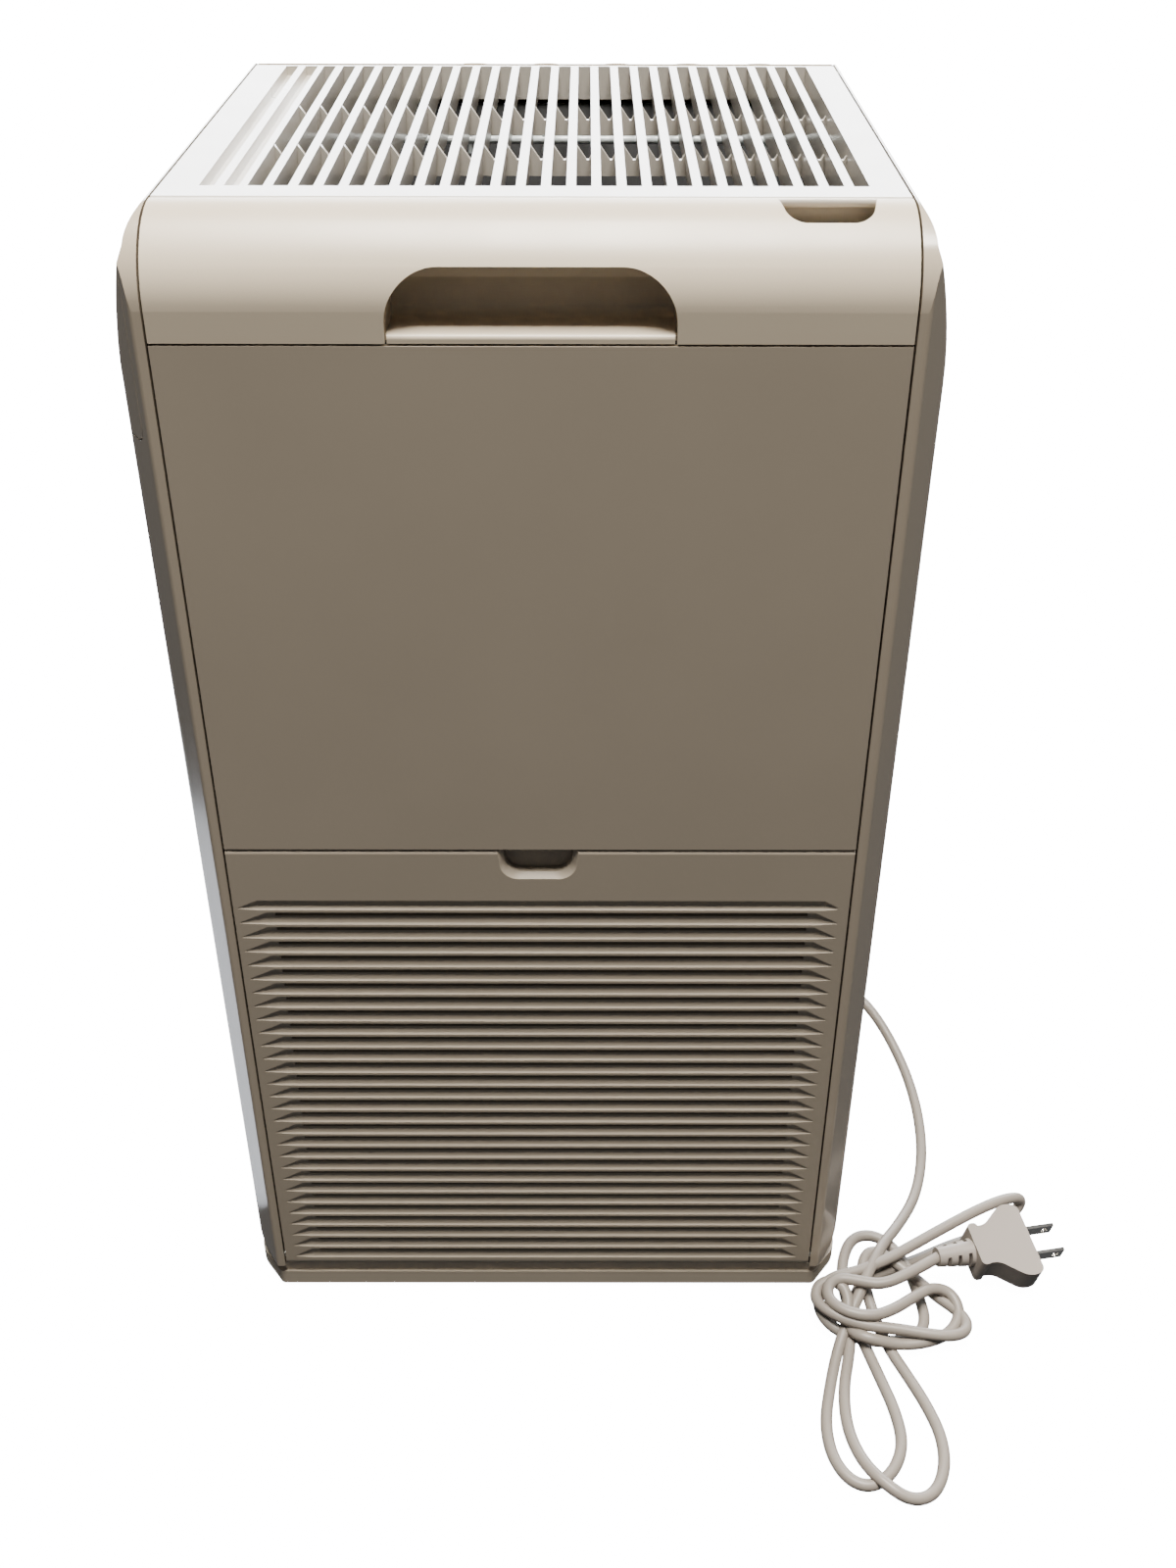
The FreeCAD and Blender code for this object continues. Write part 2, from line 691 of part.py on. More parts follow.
def scroll_body(grow, y0, y1, top):
    """Volute: three arcs of growing radius round the fan, then a straight outlet upwards."""
    spots = [V((r + grow) * cos(radians(a)), y0, FAN_Z + (r + grow) * sin(radians(a)))
             for a, r in SCROLL_RADII]
    arcs = [Part.Arc(spots[i], spots[i + 1], spots[i + 2]).toShape() for i in (0, 2, 4)]
    tongue_x = SHEET + 0.5 - grow
    mouth_right = V(spots[6].x, y0, top)
    mouth_left = V(tongue_x, y0, top)
    tongue = V(tongue_x, y0, spots[0].z)
    lines = [Part.makeLine(spots[6], mouth_right), Part.makeLine(mouth_right, mouth_left),
             Part.makeLine(mouth_left, tongue), Part.makeLine(tongue, spots[0])]
    return Part.Face(Part.Wire(Part.__sortEdges__(arcs + lines))).extrude(V(0, y1 - y0, 0))


def fan_scroll():
    outer = scroll_body(SHEET, SCROLL_Y0, SCROLL_Y1, SCROLL_TOP)
    inner = scroll_body(0.0, SCROLL_Y0 + SHEET, SCROLL_Y1 - SHEET, SCROLL_TOP + 5)
    return cut(outer, [inner, rod_y(0, FAN_Z, 84.5, SCROLL_Y0 - 1, SCROLL_Y0 + 3),
                       rod_y(0, FAN_Z, 14.0, SCROLL_Y1 - 3, SCROLL_Y1 + 1)])


def rectangle_wire(x0, x1, y0, y1, z):
    return Part.makePolygon([V(x0, y0, z), V(x1, y0, z), V(x1, y1, z), V(x0, y1, z), V(x0, y0, z)])


def duct_body(grow, extra):
    low = SCROLL_TOP + 0.4 - extra
    high = DUCT_TOP + extra
    rear = SCROLL_Y0 + SHEET
    front = SCROLL_Y1 - SHEET
    lower = rectangle_wire(SHEET + 0.5 - grow, 113 + grow, rear - grow, front + grow, low)
    upper = rectangle_wire(-110 - grow, 113 + grow, -96 - grow, 96 + grow, high)
    return Part.makeLoft([lower, upper], True, True)


def outlet_duct():
    return duct_body(SHEET, 0).cut(duct_body(0.0, 0.01))


def ioniser_bar():
    bar = rod_x(64.0, 465.0, 1.6, -105.5, 112.5)
    posts = [rod_z(x, 64.0, 1.0, 460.0, 469.5) for x in range(-90, 100, 30)]
    return fuse([bar] + posts)


def fan_blade(index):
    """Forward-curved blade between the back plate and the shroud."""
    turn = 2 * pi * index / BLADE_COUNT

    def spot(r, angle):
        return V(r * cos(turn + angle), IMPELLER_Y0 + 1, FAN_Z + r * sin(turn + angle))

    outer = [spot(61, 0.0), spot(74, -0.055), spot(IMPELLER_R - 0.5, -0.015)]
    inner = [spot(IMPELLER_R - 0.5, 0.0), spot(74, -0.037), spot(61, 0.018)]
    edges = [Part.Arc(*outer).toShape(), Part.makeLine(outer[2], inner[0]),
             Part.Arc(*inner).toShape(), Part.makeLine(inner[2], outer[0])]
    return Part.Face(Part.Wire(edges)).extrude(V(0, IMPELLER_Y1 - IMPELLER_Y0 - 2, 0))


def impeller():
    shroud = rod_y(0, FAN_Z, IMPELLER_R, IMPELLER_Y0, IMPELLER_Y0 + 2)
    shroud = shroud.cut(rod_y(0, FAN_Z, 72.0, IMPELLER_Y0 - 1, IMPELLER_Y0 + 3))
    plate = rod_y(0, FAN_Z, IMPELLER_R, IMPELLER_Y1 - 2, IMPELLER_Y1)
    hub = rod_y(0, FAN_Z, 12.0, IMPELLER_Y1 - 18, IMPELLER_Y1)
    body = fuse([shroud, plate, hub] + [fan_blade(i) for i in range(BLADE_COUNT)])
    return body.cut(rod_y(0, FAN_Z, SHAFT_R, IMPELLER_Y1 - 20, IMPELLER_Y1 + 1))


def motor_shaft():
    return rod_y(0, FAN_Z, SHAFT_R, IMPELLER_Y1 - 18, MOTOR_Y1 - 6)


def motor():
    can = rod_y(0, FAN_Z, MOTOR_R, MOTOR_Y0, MOTOR_Y1)
    cap = rod_y(0, FAN_Z, 14.0, MOTOR_Y1, MOTOR_Y1 + 5)
    bore = rod_y(0, FAN_Z, SHAFT_R + PIN_CLEARANCE, MOTOR_Y0 - 1, MOTOR_Y1 - 5)
    fins = [rod_y(MOTOR_R * cos(a), FAN_Z + MOTOR_R * sin(a), 2.0, MOTOR_Y0 + 6, MOTOR_Y1 - 6)
            for a in [2 * pi * i / 24 for i in range(24)]]
    return cut(fuse([can, cap]), [bore] + fins)


def motor_mount():
    ring = rod_y(0, FAN_Z, 60.0, SCROLL_Y1, MOTOR_Y0)
    ears = [box(x, x + 20, SCROLL_Y1, MOTOR_Y0, z, z + 20) for x in (-60, 40) for z in (75, 175)]
    hole = rod_y(0, FAN_Z, 14.0, SCROLL_Y1 - 1, MOTOR_Y0 + 1)
    return cut(fuse([ring] + ears), [hole] + motor_screw_shanks())


def motor_screw_shanks():
    return [rod_y(MOTOR_SCREW_AT * cos(a), FAN_Z + MOTOR_SCREW_AT * sin(a), 2.0,
                  SCROLL_Y1, MOTOR_Y0) for a in SCREW_TURNS]


def motor_screws():
    heads = [rod_y(MOTOR_SCREW_AT * cos(a), FAN_Z + MOTOR_SCREW_AT * sin(a), 4.0,
                   MOTOR_Y0, MOTOR_Y0 + 2.5) for a in SCREW_TURNS]
    screws = [head.fuse(shank) for head, shank in zip(heads, motor_screw_shanks())]
    return Part.makeCompound(screws)


def power_board():
    board = box(-80, 80, 118.0, 119.6, 60, 150)
    parts = [box(-70, -40, 96, 118.2, 70, 100), box(-30, -6, 100, 118.2, 66, 90),
             box(45, 70, 104, 118.2, 110, 142)]
    cans = [rod_y(x, z, 8.0, 98, 118.2) for x, z in ((10, 80), (32, 80), (10, 125))]
    feet = [rod_y(x, z, 3.0, 119.4, FRONT - WALL) for x in (-74, 74) for z in (66, 144)]
    return fuse([board] + parts + cans + feet)


def base_outline(inset):
    rim = 123.0 - inset
    out = HALF_WIDTH - 0.2 - inset
    rear = REAR + 1.2 + inset
    front = FRONT - 1.2 - inset
    return [
        (-rim, rear, 3.0), (rim, rear, 3.0), (out, rear + 15.0, 14.0), (out, front - 15.0, 14.0),
        (rim, front, 3.0), (-rim, front, 3.0), (-out, front - 15.0, 14.0), (-out, rear + 15.0, 14.0),
    ]


def base_tray():
    """Plinth: a rounded lower band, a recessed shadow band above it and a hollow inside."""
    toe = slab_z(base_outline(1.2), BASE_LOW, 2.4)
    band = slab_z(base_outline(0), 2.4, 10.5)
    neck = slab_z(base_outline(1.4), 10.5, BASE_TOP)
    hollow = slab_z(base_outline(4.4), BASE_FLOOR, BASE_TOP + 1)
    pockets = [rod_z(x, y, FOOT_R, 0, 2.5) for x, y in FOOT_SPOTS]
    heads = [rod_z(x, y, 3.6, 0, 2.6) for x, y in SCREW_SPOTS]
    shanks = [rod_z(x, y, 1.6, 0, BASE_FLOOR + 1) for x, y in SCREW_SPOTS]
    return cut(fuse([toe, band, neck]), [hollow] + pockets + heads + shanks)


def rubber_foot(x, y):
    return rod_z(x, y, FOOT_R, 0, 2.5)


def case_screws():
    return Part.makeCompound([
        fuse([rod_z(x, y, 3.6, 1.2, 2.6), rod_z(x, y, 1.6, 2.5, 11.0)]) for x, y in SCREW_SPOTS
    ])


def strain_relief():
    """Tapered gland that guides the lead out of the right wall and towards the rear."""
    stub = rod_x(GLAND_Y, GLAND_Z, 5.0, HALF_WIDTH - WALL - 1.5, HALF_WIDTH + 1)
    flange = rod_x(GLAND_Y, GLAND_Z, 7.6, HALF_WIDTH, HALF_WIDTH + 2.2)
    taper = Part.makeCone(5.6, CORD_D / 2 + 0.9, GLAND_LENGTH)
    rings = []
    for i in range(4):
        low = 6.0 + 3.6 * i
        ring = rod_z(0, 0, 9.0, low, low + 1.4)
        rings.append(ring.cut(rod_z(0, 0, 4.4 - 0.35 * i, low - 1, low + 3)))
    sleeve = cut(taper, rings)
    sleeve.rotate(V(0, 0, 0), V(0, 1, 0), 90)
    sleeve.rotate(V(0, 0, 0), V(0, 0, 1), GLAND_TURN)
    sleeve.translate(V(HALF_WIDTH + 1, GLAND_Y, GLAND_Z))
    beyond = box(HALF_WIDTH, HALF_WIDTH + 40, 0, 80, 0, 80)
    return fuse([stub, flange, sleeve.common(beyond)])


def cord_path(route):
    """Straight runs joined by arcs that use 0.45 of the shorter run at each corner."""
    spots = [V(*point) for point in route]
    edges = []
    radii = []
    start = spots[0]
    for before, here, after in zip(spots, spots[1:], spots[2:]):
        turn = (here - before).getAngle(after - here)
        run = 0.45 * min((here - before).Length, (after - here).Length)
        radii.append(run / tan(turn / 2))
        p_in, p_mid, p_out = corner(before, here, after, radii[-1])
        edges.append(Part.LineSegment(start, p_in).toShape())
        edges.append(Part.Arc(p_in, p_mid, p_out).toShape())
        start = p_out
    edges.append(Part.LineSegment(start, spots[-1]).toShape())
    return Part.Wire(edges), radii


def power_cord():
    path, radii = cord_path(CORD_ROUTE)
    first = V(*CORD_ROUTE[1]) - V(*CORD_ROUTE[0])
    ring = Part.Wire([Part.makeCircle(CORD_D / 2, V(*CORD_ROUTE[0]), first)])
    tube = path.makePipeShell([ring], True, False)
    expected = pi * (CORD_D / 2) ** 2 * path.Length
    print("cord arc radii", [round(r, 1) for r in radii], "length", round(path.Length, 1))
    print("cord volume", round(tube.Volume), "of", round(expected))
    return tube


def place_plug(shape):
    """Turns a plug drawn along +X, flat in XY, to where it lies on the hank."""
    moved = shape.copy()
    moved.rotate(V(0, 0, 0), V(1, 0, 0), PLUG_ROLL)
    moved.rotate(V(0, 0, 0), V(0, 1, 0), PLUG_PITCH)
    moved.rotate(V(0, 0, 0), V(0, 0, 1), PLUG_YAW)
    moved.translate(PLUG_START)
    return moved


def plug_solid(grow):
    """Ribbed sleeve, square collar and flared flat body."""
    sleeve = Part.makeCone(4.4 + grow, 6.4 + grow, 18.0, V(0, 0, 0), V(1, 0, 0))
    collar = slab_z(rectangle(17.0, 22.0, -10.5 - grow, 10.5 + grow, 2.0), -7.5 - grow, 7.5 + grow)
    neck = 9.5 + grow
    wing = PLUG_HALF + grow
    body = slab_z([
        (20.0, -neck, 0), (26.0, -neck, 8.0), (38.0, -wing, 9.0), (PLUG_LENGTH, 2 - wing, 3.5),
        (PLUG_LENGTH, wing - 2, 3.5), (38.0, wing, 9.0), (26.0, neck, 8.0), (20.0, neck, 0),
    ], -6.2 - grow, 6.2 + grow)
    return fuse([sleeve, collar, body])


def plug_blade_boxes(grow):
    half = BLADE_SPACING / 2
    return [box(PLUG_LENGTH - 6.0, PLUG_LENGTH + BLADE_LENGTH, v - 0.75 - grow, v + 0.75 + grow,
                -3.2 - grow, 3.2 + grow) for v in (-half, half)]


def plug_body():
    slots = []
    for i in range(3):
        s = 3.5 + 5.0 * i
        for v in (-6.5, 3.0):
            slots.append(box(s, s + 1.8, v, v + 3.5, -9, 9))
    return place_plug(cut(plug_solid(0), slots + plug_blade_boxes(0)))


def plug_blades():
    hole = Part.makeCylinder(1.6, 30, V(PLUG_LENGTH + BLADE_LENGTH - 4.0, -15, 0), V(0, 1, 0))
    return place_plug(Part.makeCompound([blade.cut(hole) for blade in plug_blade_boxes(0)]))


def cord_hank():
    """Outer shape of the bundle: two long floor loops, the wrapped waist, its upper bights
    and the bight that reaches out beside the plug."""
    loops = slab_z([
        (124.0, -160.0, 0), (113.5, -212.0, 20.0), (122.0, -239.0, 12.0), (150.0, -251.0, 14.0),
        (172.5, -243.0, 18.0), (170.5, -208.0, 30.0), (158.0, -160.0, 0),
    ], 0.0, 8.0)
    waist = slab_z([
        (116.5, -166.0, 10.0), (116.5, -138.0, 6.0), (125.0, -137.5, 2.0),
        (138.0, -122.0, 4.0), (142.0, -110.0, 6.0), (158.0, -108.0, 6.0), (195.0, -138.0, 12.0),
        (193.0, -167.0, 12.0), (150.0, -172.0, 20.0),
    ], 0.0, 20.0)
    reach = slab_z([
        (160.0, -130.0, 0), (186.0, -110.0, 20.0), (229.0, -92.0, 5.0), (231.0, -104.0, 5.0),
        (190.0, -126.0, 0), (175.0, -142.0, 0),
    ], 0.0, 20.0)
    bundle = fuse([loops, waist, reach])
    clear = place_plug(fuse([plug_solid(0.3)] + plug_blade_boxes(0.3)))
    return cut(bundle, [clear, power_cord()])


NODES = {
    "base_tray": base_tray,
    "left_side_panel": left_side_panel,
    "right_side_panel": right_side_panel,
    "chassis_left": chassis_left,
    "chassis_right": chassis_plate,
    "sensor_cover": sensor_cover,
    "dust_sensor": dust_sensor,
    "rear_top_cover": rear_top_cover,
    "handle_pocket": handle_pocket,
    "handle_grip": handle_grip,
    "rear_panel": rear_panel,
    "intake_grille": intake_grille,
    "intake_hinge_pins": lambda: hinge_pins(intake_axis()),
    "prefilter": prefilter,
    "carbon_filter": carbon_filter,
    "hepa_frame": hepa_frame,
    "hepa_pleats": hepa_pleats,
    "filter_housing": filter_housing,
    "inlet_ring": inlet_ring,
    "fan_scroll": fan_scroll,
    "impeller": impeller,
    "motor_shaft": motor_shaft,
    "motor": motor,
    "motor_mount": motor_mount,
    "motor_screws": motor_screws,
    "outlet_duct": outlet_duct,
    "ioniser_bar": ioniser_bar,
    "top_grille": top_grille,
    "grille_hinge_pins": lambda: hinge_pins(grille_axis()),
    "front_panel": front_panel,
    "control_panel": control_panel,
    "indicator_window": indicator_window,
    "control_board": control_board,
    "power_board": power_board,
    "case_screws": case_screws,
    "strain_relief": strain_relief,
    "power_cord": power_cord,
    "cord_hank": cord_hank,
    "plug_body": plug_body,
    "plug_blades": plug_blades,
}
for number, (foot_x, foot_y) in enumerate(FOOT_SPOTS, 1):
    NODES[f"rubber_foot_{number}"] = lambda x=foot_x, y=foot_y: rubber_foot(x, y)
for number, button_x in enumerate(BUTTON_XS, 1):
    NODES[f"button_{number}"] = lambda x=button_x: button(x)

os.makedirs("parts", exist_ok=True)
for node, make in NODES.items():
    shape = make()
    print(node, shape.isValid(), len(shape.Solids), round(shape.Volume / 1000, 1), "cm3")
    shape.exportStep(f"parts/{node}.step")
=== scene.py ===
from math import cos, pi, radians, sin

import bpy
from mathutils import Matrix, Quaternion, Vector


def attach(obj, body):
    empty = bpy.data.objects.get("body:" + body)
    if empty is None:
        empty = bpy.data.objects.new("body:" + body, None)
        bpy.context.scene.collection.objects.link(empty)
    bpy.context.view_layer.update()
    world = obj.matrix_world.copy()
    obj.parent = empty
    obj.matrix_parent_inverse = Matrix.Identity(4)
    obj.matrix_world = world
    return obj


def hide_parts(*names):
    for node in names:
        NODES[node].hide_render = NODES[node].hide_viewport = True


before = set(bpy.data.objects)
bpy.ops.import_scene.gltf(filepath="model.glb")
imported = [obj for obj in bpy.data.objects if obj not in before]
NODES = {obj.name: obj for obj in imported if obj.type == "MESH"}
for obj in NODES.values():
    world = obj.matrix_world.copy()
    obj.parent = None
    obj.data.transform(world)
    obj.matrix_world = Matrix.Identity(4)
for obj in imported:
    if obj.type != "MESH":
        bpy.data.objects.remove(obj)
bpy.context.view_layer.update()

MM = 0.001
CORD_D = 5.2 * MM
FLOOR_GLOW = 15.0
CEILING_WATTS = 270.0
WINDOW_WATTS = 340.0
ROOM_FILL = 0.12
CEILING_AT = (0.05, -0.25, 2.7)
CEILING_SIZE = (0.9, 1.5)
WINDOW_AT = (0.7, 3.3, 1.45)
WINDOW_SIZE = (4.2, 1.7)

# Radius and height of each ring of the floor, in metres.
FLOOR_RINGS = [(0.0, 0.0), (4.0, 0.0), (6.0, 0.25), (7.5, 1.2), (8.2, 3.0), (8.3, 6.0)]
FLOOR_SPOKES = 64

# The lead's free stretch, from the gland to the hank, as the part has it.
FREE_ROUTE = [
    (153.5, 37.4, 35.0), (163.3, 30.5, 34.2), (171.5, 19.0, 30.5), (179.0, 4.5, 24.0),
    (185.0, -14.5, 17.5), (187.5, -37.0, 12.0), (185.5, -62.0, 8.8), (178.0, -87.0, 8.3),
    (166.0, -107.0, 10.5), (156.5, -120.0, 13.5),
]

# The hank, strand by strand, in the order that the lead runs.
FIRST_LOOP = [
    (148, -136, 14.5), (142, -148, 12), (135, -160, 8), (129, -174, 4), (124, -191, 2.7),
    (120, -208, 2.7), (121, -224, 2.7), (127, -235, 2.7), (136, -238, 2.7), (146, -231, 2.7),
    (152, -218, 2.7), (151, -202, 2.7), (147, -186, 2.7), (143, -171, 3.2), (139, -156, 4),
]
OUTER_BIGHT = [
    (136, -141, 6), (137, -126, 8), (143, -113, 9), (153, -110.5, 9), (162, -116, 7.5),
    (168, -128, 5.5), (171, -143, 4), (172, -156, 3.5), (166, -165, 3), (154, -167, 3),
    (140, -166, 4), (129, -162, 6), (123, -155, 9),
]
REACH = [
    (123.5, -146, 11.5), (130, -139, 13), (143, -136, 13.5), (156, -130.5, 14), (171, -122, 15.5),
    (188, -112.5, 17.4), (204, -104, 19), (217, -97.5, 18.6), (226, -93, 15),
    (228, -92.5, 10), (223, -96, 5.6), (214, -101.5, 3.4), (202, -108, 3), (189, -114, 4.5),
    (174, -122, 5), (159, -129, 6), (146, -136, 7), (139, -147, 6), (137, -160, 4.5),
]
SECOND_LOOP = [
    (135, -173, 3.5), (130, -191, 2.7), (129, -210, 2.7), (133, -227, 4.5), (141, -239, 6.5),
    (151, -244.5, 3.5), (161, -241.5, 2.7), (167.5, -230, 2.7), (169, -215, 2.7),
    (165, -199, 2.7), (159, -184, 2.7), (153, -171, 3.5), (149, -158, 5),
]
INNER_BIGHT = [
    (146.5, -145, 8), (145, -133, 11), (148, -125, 12.5), (154, -123, 12), (161, -127, 9.5),
    (170, -135, 7.5), (178, -145, 7), (185, -152, 7.5), (189.5, -160, 8.5), (186.5, -167.5, 9.5),
    (176, -169.5, 10.5), (158, -166.5, 11.5), (141, -165, 12.5), (128, -160, 13.5),
    (121, -152, 13),
]
TIE = [
    (123.5, -144, 14.5), (131, -142, 15), (136.5, -147.5, 13.5), (136, -156.5, 10.5),
    (136, -165, 8), (142, -170.5, 11), (156, -171, 6.5),
    (169, -170, 6.5), (181, -165, 6.5), (187.5, -155, 8), (184.5, -145.5, 10.5),
    (175.5, -144.5, 13), (166, -151.5, 14.8), (155, -159.5, 15.8), (145, -163.5, 16.5),
    (134, -161.5, 17), (127, -155, 16.5), (127, -146.5, 16.5),
    (133.5, -142, 16.5), (142, -144.5, 17), (152, -147, 17.5), (165, -141.5, 18.5), (180, -132.3, 19),
]


def shade(name, base, rough, mottle=0.03, grain=0.0, grain_size=900.0, bump=0.00003, coat=0.0,
          metal=0.0):
    """Moulded material: faint colour clouds, fine moulded grain and soft wear in the roughness."""
    mat = bpy.data.materials.new(name)
    mat.use_nodes = True
    nodes = mat.node_tree.nodes
    link = mat.node_tree.links.new
    shader = nodes["Principled BSDF"]
    shader.inputs["Metallic"].default_value = metal
    shader.inputs["Coat Weight"].default_value = coat
    shader.inputs["Coat Roughness"].default_value = 0.12
    place = nodes.new("ShaderNodeTexCoord").outputs["Object"]

    clouds = nodes.new("ShaderNodeTexNoise")
    clouds.inputs["Scale"].default_value = 14.0
    clouds.inputs["Detail"].default_value = 5.0
    link(place, clouds.inputs["Vector"])
    colour = nodes.new("ShaderNodeValToRGB")
    low = [c * (1 - mottle) for c in base]
    high = [min(1.0, c * (1 + mottle)) for c in base]
    colour.color_ramp.elements[0].position = 0.3
    colour.color_ramp.elements[0].color = (*low, 1)
    colour.color_ramp.elements[1].position = 0.7
    colour.color_ramp.elements[1].color = (*high, 1)
    link(clouds.outputs["Fac"], colour.inputs["Fac"])
    link(colour.outputs["Color"], shader.inputs["Base Color"])

    smears = nodes.new("ShaderNodeTexNoise")
    smears.inputs["Scale"].default_value = 45.0
    smears.inputs["Detail"].default_value = 6.0
    link(place, smears.inputs["Vector"])
    spread = nodes.new("ShaderNodeMapRange")
    spread.inputs["To Min"].default_value = max(0.02, rough - 0.06)
    spread.inputs["To Max"].default_value = min(1.0, rough + 0.06)
    link(smears.outputs["Fac"], spread.inputs["Value"])
    link(spread.outputs["Result"], shader.inputs["Roughness"])

    if grain > 0:
        pores = nodes.new("ShaderNodeTexNoise")
        pores.inputs["Scale"].default_value = grain_size
        pores.inputs["Detail"].default_value = 3.0
        link(place, pores.inputs["Vector"])
        relief = nodes.new("ShaderNodeBump")
        relief.inputs["Strength"].default_value = grain
        relief.inputs["Distance"].default_value = bump
        link(pores.outputs["Fac"], relief.inputs["Height"])
        link(relief.outputs["Normal"], shader.inputs["Normal"])
    return mat


# Rear panel and intake grille: the warm white plastic is painted much darker than its own colour, as
# painted shade for the rear face turned away from the overhead light.
PANEL_PAINTED_SHADE = shade("warm_white_abs_painted_shade", (0.36, 0.305, 0.235), 0.42, 0.025, 0.35, 1400)
COVER = shade("cover_abs", (0.56, 0.475, 0.36), 0.36, 0.02, 0.25, 1400)
# Top grille: the plastic is painted darker than its own colour, as painted shade for the slots
# between the blades; the top face gets its brightness from reflection.
TOP_PAINTED_SHADE = shade("outlet_abs_painted_shade", (0.50, 0.46, 0.40), 0.30, 0.015, 0.1, 1400, coat=0.3)
SIDE = shade("side_abs", (0.40, 0.335, 0.255), 0.20, 0.015, 0.1, 900, coat=0.35)
PLINTH = shade("plinth_abs", (0.47, 0.40, 0.31), 0.5, 0.03, 0.3, 900)
DARK = shade("inner_grey", (0.035, 0.035, 0.037), 0.6, 0.1, 0.3, 700)
FAN = shade("fan_plastic", (0.022, 0.022, 0.023), 0.6, 0.05, 0.2, 700)
PAPER = shade("filter_paper", (0.82, 0.82, 0.79), 0.85, 0.03, 0.6, 500)
CARBON = shade("carbon_mat", (0.02, 0.02, 0.021), 0.9, 0.2, 0.9, 260, 0.0003)
NET = shade("prefilter_net", (0.16, 0.145, 0.12), 0.7, 0.1, 0.5, 500)
CLEAR = shade("pale_bar", (0.72, 0.78, 0.78), 0.2, 0.02, coat=0.4)
STEEL = shade("zinc_steel", (0.60, 0.60, 0.58), 0.32, 0.05, 0.1, 600, metal=1.0)
MOTOR = shade("motor_paint", (0.06, 0.06, 0.065), 0.4, 0.05, 0.2, 600)
BOARD = shade("circuit_board", (0.02, 0.10, 0.045), 0.45, 0.1, 0.4, 300)
WINDOW = shade("smoked_window", (0.012, 0.012, 0.015), 0.12, 0.05, coat=0.5)
RUBBER = shade("foot_rubber", (0.02, 0.02, 0.02), 0.8, 0.1, 0.5, 500)
PVC = shade("cord_pvc", (0.235, 0.205, 0.175), 0.42, 0.03, 0.25, 1200)
PLUG = shade("plug_pvc", (0.27, 0.235, 0.205), 0.42, 0.03, 0.25, 1200)
NICKEL = shade("nickel", (0.66, 0.64, 0.60), 0.22, 0.04, 0.1, 700, metal=1.0)

LOOKS = {
    PANEL_PAINTED_SHADE: ["rear_panel", "intake_grille"],
    COVER: ["rear_top_cover", "handle_pocket", "handle_grip", "front_panel", "control_panel"],
    TOP_PAINTED_SHADE: ["top_grille"],
    SIDE: ["left_side_panel", "right_side_panel", "sensor_cover", "button_1", "button_2",
           "button_3", "button_4", "button_5"],
    PLINTH: ["base_tray"],
    DARK: ["chassis_left", "chassis_right", "dust_sensor", "filter_housing"],
    FAN: ["inlet_ring", "fan_scroll", "impeller", "outlet_duct"],
    PAPER: ["hepa_pleats", "hepa_frame"],
    CARBON: ["carbon_filter"],
    NET: ["prefilter"],
    CLEAR: ["ioniser_bar"],
    STEEL: ["intake_hinge_pins", "grille_hinge_pins", "motor_shaft", "motor_mount",
            "motor_screws", "case_screws"],
    MOTOR: ["motor"],
    BOARD: ["control_board", "power_board"],
    WINDOW: ["indicator_window"],
    RUBBER: ["rubber_foot_1", "rubber_foot_2", "rubber_foot_3", "rubber_foot_4"],
    PVC: ["strain_relief"],
    PLUG: ["plug_body"],
    NICKEL: ["plug_blades"],
}


def dress_nodes():
    for mat, names in LOOKS.items():
        for name in names:
            obj = NODES[name]
            obj.data.materials.clear()
            obj.data.materials.append(mat)


def mains_lead():
    """One smooth curve from the gland, through every turn of the hank, to the plug."""
    route = FREE_ROUTE + FIRST_LOOP + OUTER_BIGHT + REACH + SECOND_LOOP + INNER_BIGHT + TIE
    curve = bpy.data.curves.new("mains_lead", "CURVE")
    curve.dimensions = "3D"
    curve.bevel_depth = CORD_D / 2
    curve.bevel_resolution = 6
    curve.resolution_u = 8
    curve.use_fill_caps = True
    spline = curve.splines.new("NURBS")
    spline.points.add(len(route) - 1)
    for point, (x, y, z) in zip(spline.points, route):
        point.co = (x * MM, y * MM, z * MM, 1)
    spline.order_u = 3
    spline.use_endpoint_u = True
    lead = bpy.data.objects.new("mains_lead", curve)
    bpy.context.collection.objects.link(lead)
    curve.materials.append(PVC)
    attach(lead, "housing")
    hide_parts("power_cord", "cord_hank")


CAMERA_AT = Vector((17.15, -637.74, 626.42)) * MM
CAMERA_PITCH = radians(34.266)
CAMERA_YAW = radians(-0.107)
CAMERA_ROLL = radians(0.133)
LENS_MM = 37.91


def camera():
    data = bpy.data.cameras.new("camera")
    data.sensor_fit = "AUTO"
    data.sensor_width = 36.0
    data.lens = LENS_MM
    obj = bpy.data.objects.new("camera", data)
    obj.rotation_mode = "QUATERNION"
    tilt = Quaternion((1, 0, 0), pi / 2 - CAMERA_PITCH)
    obj.location = CAMERA_AT
    turn = Quaternion((0, 0, 1), CAMERA_YAW)
    obj.rotation_quaternion = turn @ tilt @ Quaternion((0, 0, 1), CAMERA_ROLL)
    bpy.context.collection.objects.link(obj)
    bpy.context.scene.camera = obj


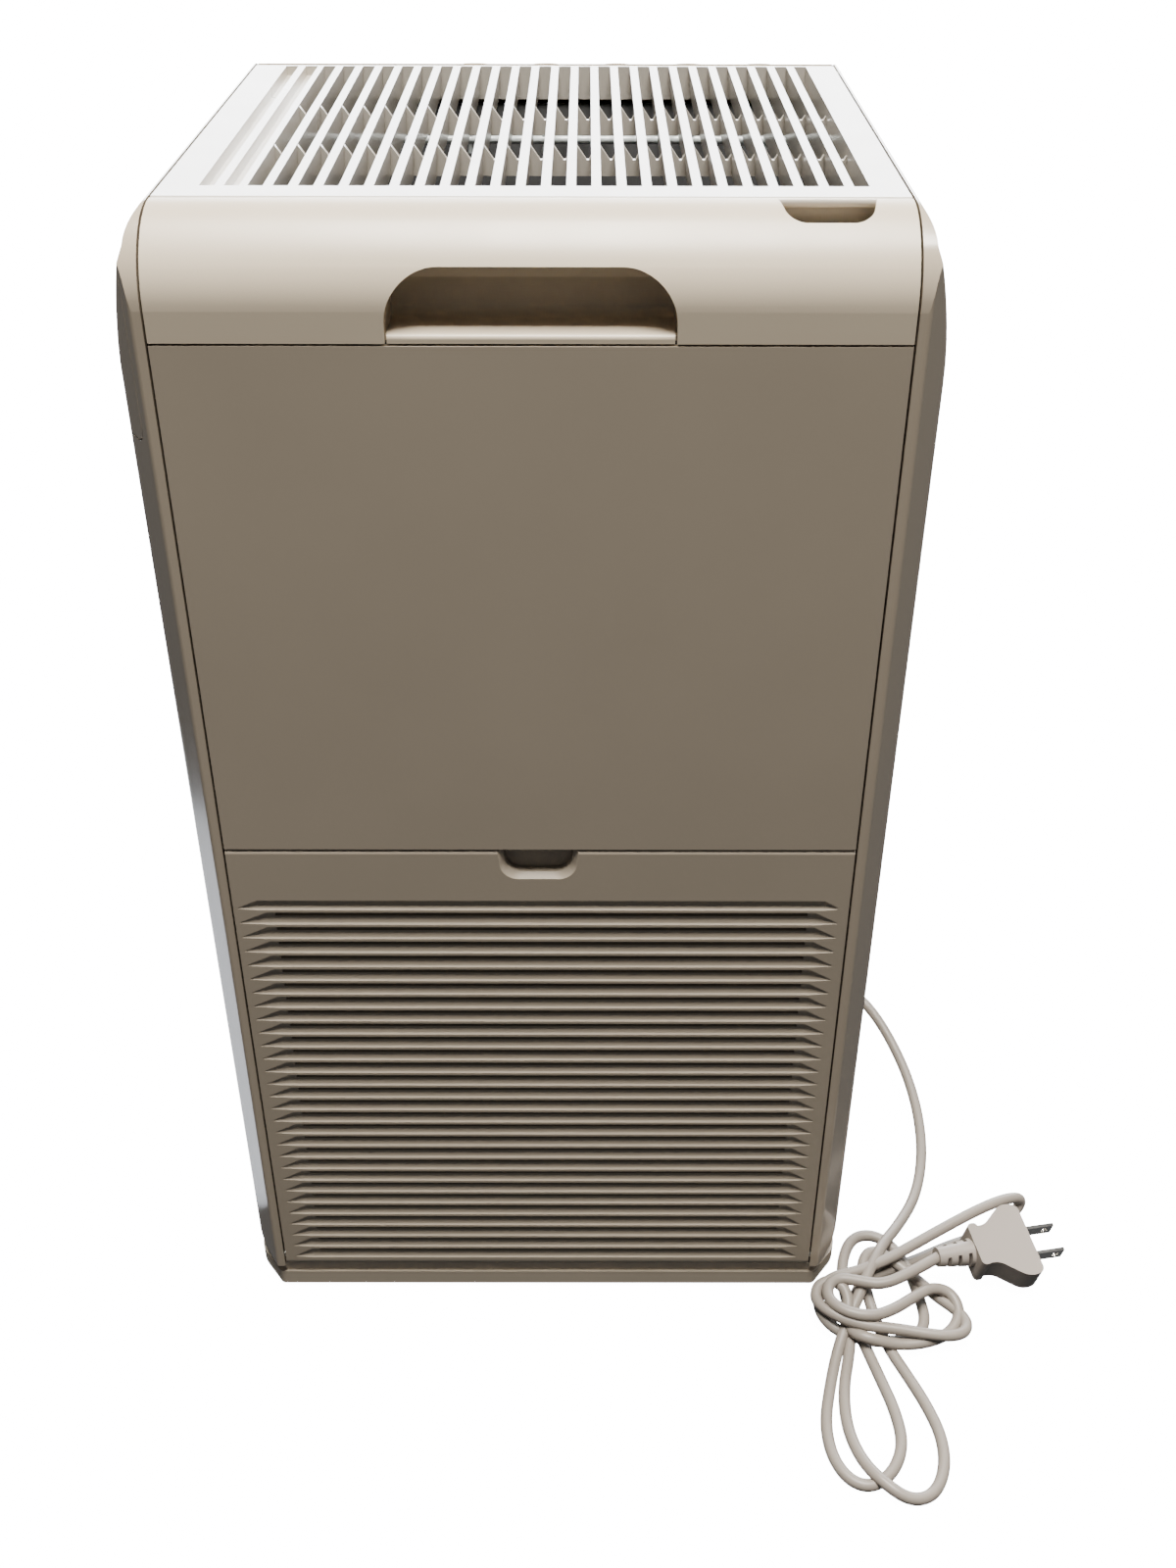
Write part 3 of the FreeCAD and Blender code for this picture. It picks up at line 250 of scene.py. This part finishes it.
def floor():
    """Pale floor that rises far away into a backdrop, bright enough to show almost white."""
    spokes = FLOOR_SPOKES
    verts = [(r * cos(2 * pi * i / spokes), r * sin(2 * pi * i / spokes), z)
             for r, z in FLOOR_RINGS for i in range(spokes)]
    faces = [(k * spokes + i, k * spokes + (i + 1) % spokes,
              (k + 1) * spokes + (i + 1) % spokes, (k + 1) * spokes + i)
             for k in range(len(FLOOR_RINGS) - 1) for i in range(spokes)]
    mesh = bpy.data.meshes.new("floor")
    mesh.from_pydata(verts, [], faces)
    mesh.shade_smooth()
    obj = bpy.data.objects.new("floor", mesh)
    bpy.context.collection.objects.link(obj)
    obj.visible_diffuse = False
    obj.visible_glossy = False
    mat = bpy.data.materials.new("pale_floor")
    mat.use_nodes = True
    shader = mat.node_tree.nodes["Principled BSDF"]
    shader.inputs["Base Color"].default_value = (0.80, 0.80, 0.80, 1)
    shader.inputs["Roughness"].default_value = 0.9
    shader.inputs["Specular IOR Level"].default_value = 0.1
    shader.inputs["Emission Color"].default_value = (1.0, 1.0, 1.0, 1)
    shader.inputs["Emission Strength"].default_value = FLOOR_GLOW
    mesh.materials.append(mat)


def card(name, x0, x1, y0, y1, glow):
    """Pale sheet on the floor, seen only as a reflection in the glossy side walls."""
    mesh = bpy.data.meshes.new(name)
    mesh.from_pydata([(x0, y0, 0), (x1, y0, 0), (x1, y1, 0), (x0, y1, 0)], [], [(0, 1, 2, 3)])
    obj = bpy.data.objects.new(name, mesh)
    bpy.context.collection.objects.link(obj)
    obj.visible_camera = False
    obj.visible_diffuse = False
    obj.visible_shadow = False
    mat = bpy.data.materials.new(name)
    mat.use_nodes = True
    shader = mat.node_tree.nodes["Principled BSDF"]
    shader.inputs["Base Color"].default_value = (0.8, 0.8, 0.8, 1)
    shader.inputs["Emission Color"].default_value = (0.88, 0.92, 1.0, 1)
    shader.inputs["Emission Strength"].default_value = glow
    mesh.materials.append(mat)


def area_light(name, place, aim, size, power, colour):
    data = bpy.data.lights.new(name, "AREA")
    data.shape = "RECTANGLE"
    data.size, data.size_y = size
    data.energy = power
    data.color = colour
    obj = bpy.data.objects.new(name, data)
    obj.location = place
    obj.rotation_mode = "QUATERNION"
    obj.rotation_quaternion = (Vector(aim) - Vector(place)).to_track_quat("-Z", "Y")
    bpy.context.collection.objects.link(obj)


def lights():
    area_light("ceiling_light", CEILING_AT, (0.0, -0.05, 0.3), CEILING_SIZE, CEILING_WATTS,
               (1.0, 0.965, 0.90))
    area_light("window_light", WINDOW_AT, (0.0, 0.0, 0.47), WINDOW_SIZE, WINDOW_WATTS,
               (0.90, 0.94, 1.0))
    world = bpy.data.worlds.new("room")
    world.use_nodes = True
    world.node_tree.nodes["Background"].inputs["Color"].default_value = (0.93, 0.95, 1.0, 1)
    world.node_tree.nodes["Background"].inputs["Strength"].default_value = ROOM_FILL
    bpy.context.scene.world = world


camera()
mains_lead()
dress_nodes()
floor()
card("left_card", -0.42, -0.16, -0.10, 0.50, 1.6)
lights()
